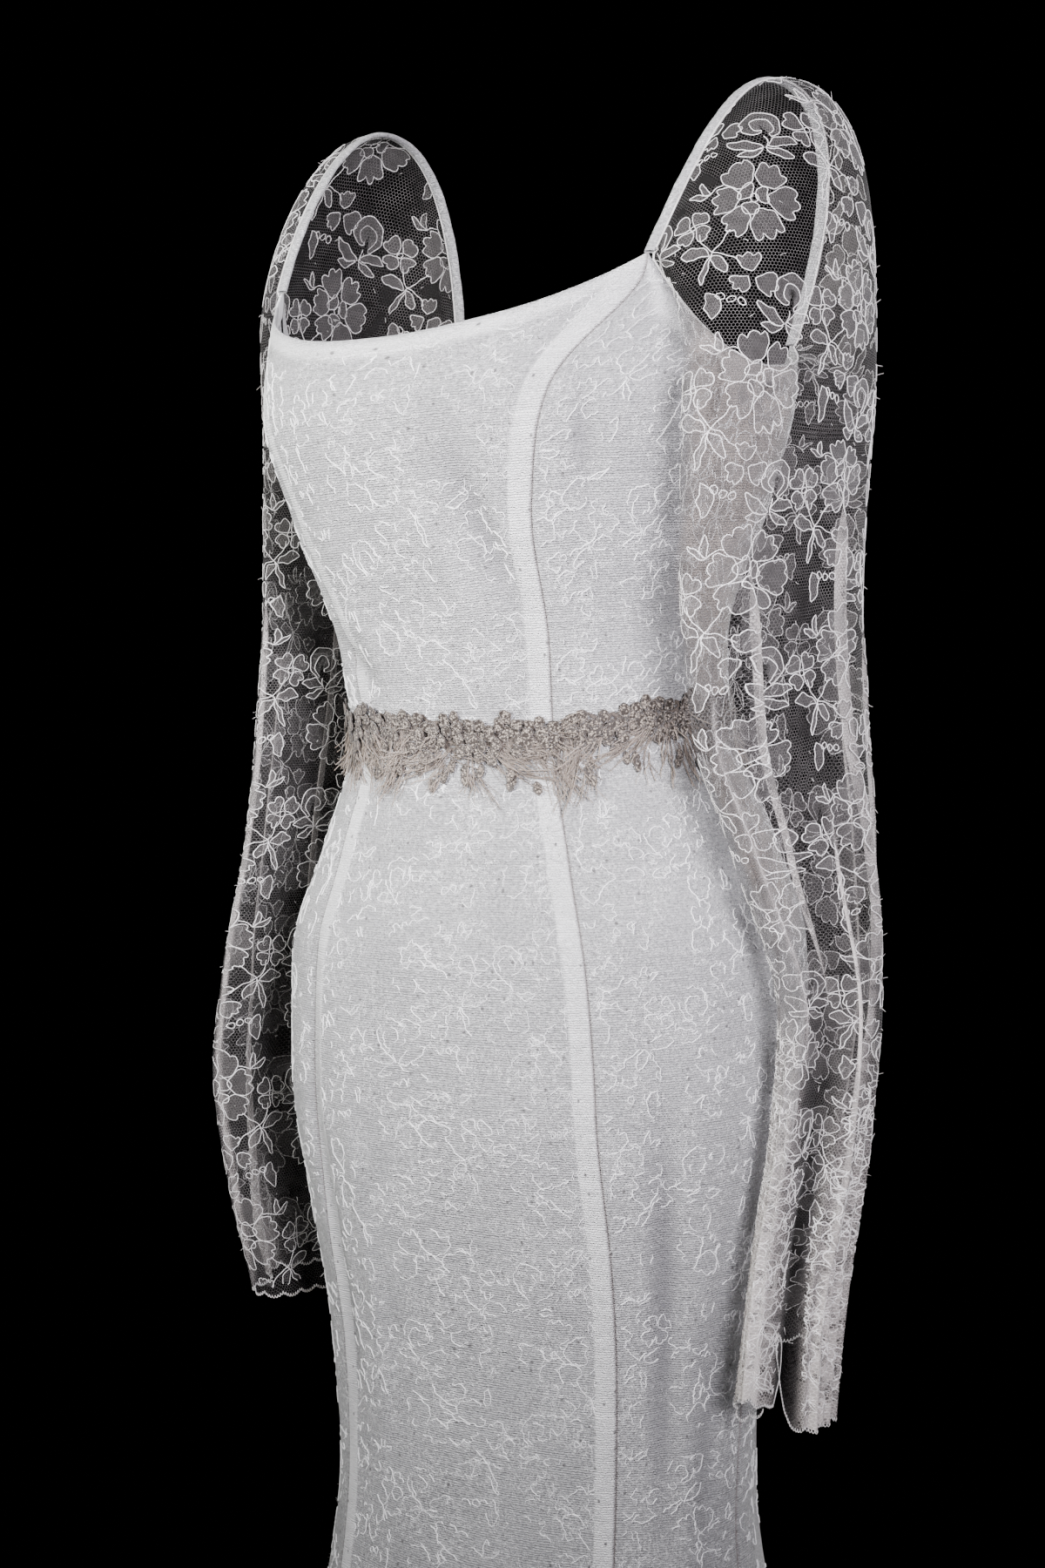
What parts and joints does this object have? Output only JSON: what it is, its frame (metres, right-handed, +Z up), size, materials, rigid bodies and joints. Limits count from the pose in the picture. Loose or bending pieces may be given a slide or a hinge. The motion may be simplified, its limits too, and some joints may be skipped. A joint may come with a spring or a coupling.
{
  "type": "wedding dress",
  "caption": "Floor-length princess-line wedding gown in ivory lace-covered crepe, with sheer lace sleeves, narrow straps and a taupe fringed waist trim",
  "frame": {"origin": "midway between the tops of the two shoulder straps, where the wearer's shoulders hold it", "axes": "+Z up, -Y to the wearer's front, +X to the wearer's left"},
  "size_m": [0.6866, 0.667, 1.429],
  "materials": {
    "corded_lace_crepe": "ivory crepe under a flat white corded lace overlay, matte with a soft sheen",
    "sheer_corded_lace": "sheer net with white corded flower lace, matte",
    "taupe_guipure": "taupe embroidered flower braid with a frayed thread fringe",
    "zip_metal": "plain nickel-coloured zip slider and tab"
  },
  "bodies": {
    "gown": {"front_panel": "corded_lace_crepe", "front_side_panel_left": "corded_lace_crepe", "front_side_panel_right": "corded_lace_crepe", "back_side_panel_left": "corded_lace_crepe", "back_side_panel_right": "corded_lace_crepe", "back_panel_left": "corded_lace_crepe", "back_panel_right": "corded_lace_crepe", "strap_left": "corded_lace_crepe", "strap_right": "corded_lace_crepe", "waist_trim": "taupe_guipure", "waist_fringe": "taupe_guipure", "sleeve_left": "sheer_corded_lace", "sleeve_right": "sheer_corded_lace", "zip_slider": "zip_metal"},
    "zip_tab": {"zip_tab": "zip_metal"}
  },
  "joints": [
    {"name": "zip_tab_hinge", "type": "hinge", "parent": "gown", "child": "zip_tab", "pos_m": [0, 0.085, -0.21709], "axis": [1, 0, 0], "range_deg": [0, 120]}
  ]
}
